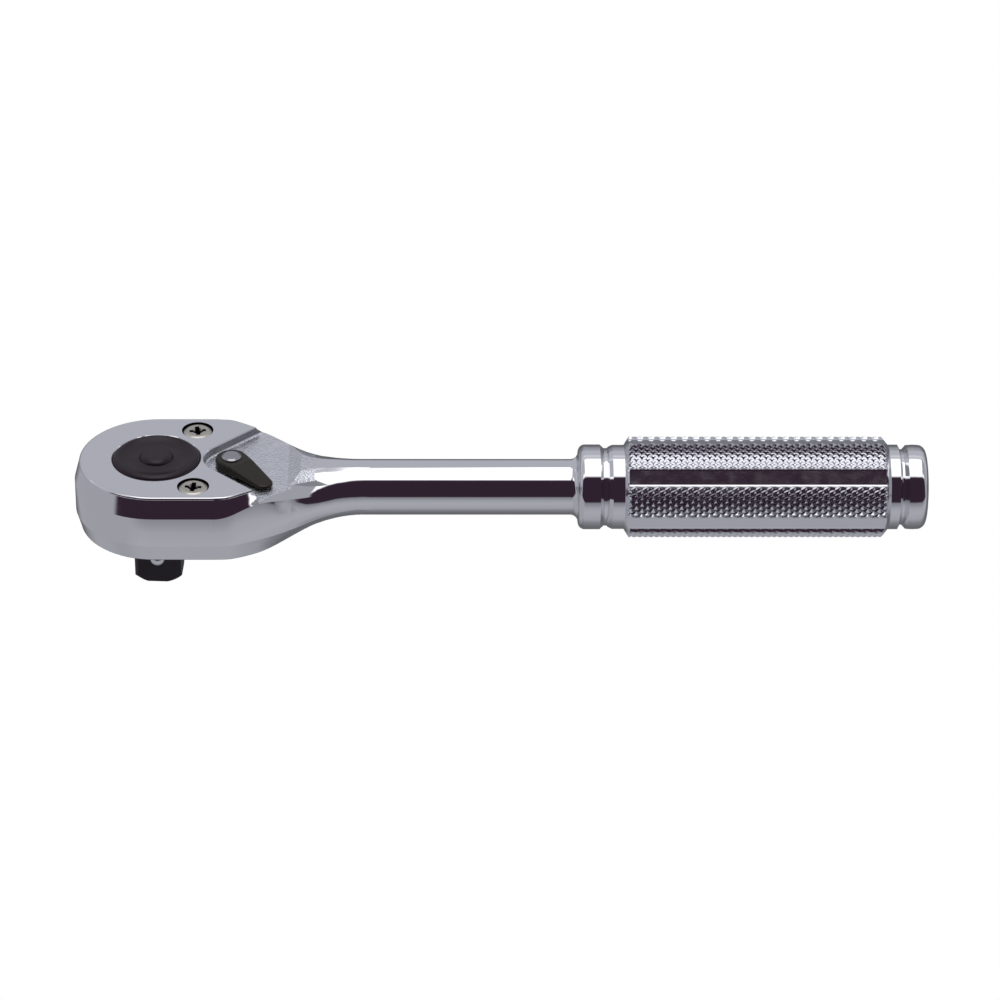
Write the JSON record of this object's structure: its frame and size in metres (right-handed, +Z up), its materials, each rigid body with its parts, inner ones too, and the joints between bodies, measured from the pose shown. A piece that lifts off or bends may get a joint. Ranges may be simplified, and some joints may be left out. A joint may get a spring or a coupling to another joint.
{
  "type": "ratchet wrench",
  "caption": "Compact reversible ratchet handle: square drive with locking ball, release button and thumb lever on a flat oval head, round neck, knurled grip.",
  "frame": {"origin": "centre of the drive square's end face", "axes": "+X along the handle from the drive axis to the grip's end, +Z up the drive axis from the square to the release button, +Y to the left seen from above with the handle pointing away"},
  "size_m": [0.116, 0.0222, 0.0202],
  "materials": {
    "chrome_forging": "polished chrome plate",
    "satin_steel": "satin plated steel",
    "nickel_screw": "satin nickel plate",
    "black_oxide": "satin black oxide",
    "black_lever": "black plated, slightly glossy",
    "bare_steel": "ground hardened steel",
    "spindle_steel": "dark oiled steel with a bright riveted edge",
    "spring_steel": "drawn spring wire",
    "ball_steel": "polished bearing ball",
    "seal_rubber": "oiled nitrile rubber"
  },
  "bodies": {
    "handle": {"ratchet_body": "chrome_forging", "cover_plate": "satin_steel", "cover_screws": "nickel_screw", "gear_thrust_washer": "bare_steel"},
    "drive": {"drive_gear": "black_oxide", "hub_friction_ring": "seal_rubber", "button_spring": "spring_steel"},
    "button": {"release_button": "black_oxide", "release_pin": "bare_steel"},
    "ball": {"detent_ball": "ball_steel"},
    "lever": {"reversing_lever": "black_lever", "selector_spindle": "spindle_steel", "spindle_seal_ring": "seal_rubber", "selector_plunger": "bare_steel", "plunger_spring": "spring_steel"},
    "pawl": {"pawl": "bare_steel"}
  },
  "joints": [
    {"name": "drive_spin", "type": "hinge", "parent": "handle", "child": "drive", "pos_m": [0, 0, 0.0123], "axis": [0, 0, 1], "continuous": true},
    {"name": "button_press", "type": "slide", "parent": "drive", "child": "button", "axis": [0, 0, -1], "range_m": [0, 0.001], "stiffness_N_per_m": 1000, "springref_m": -0.003, "deforming": ["button_spring"]},
    {"name": "ball_slide", "type": "slide", "parent": "drive", "child": "ball", "axis": [0.0523, 0.9986, 0], "range_m": [0, 0.0006]},
    {"name": "lever_turn", "type": "hinge", "parent": "handle", "child": "lever", "pos_m": [0.0102, 0, 0.0158], "axis": [0, 0, 1], "range_deg": [0, 100]},
    {"name": "pawl_rock", "type": "hinge", "parent": "handle", "child": "pawl", "pos_m": [0.0102, 0, 0.0122], "axis": [0, 0, 1], "range_deg": [-10, 0]}
  ],
  "couplings": [
    {"joint": "ball_slide", "follows": "button_press", "ratio": 0.6},
    {"joint": "pawl_rock", "follows": "lever_turn", "ratio": -0.1}
  ]
}
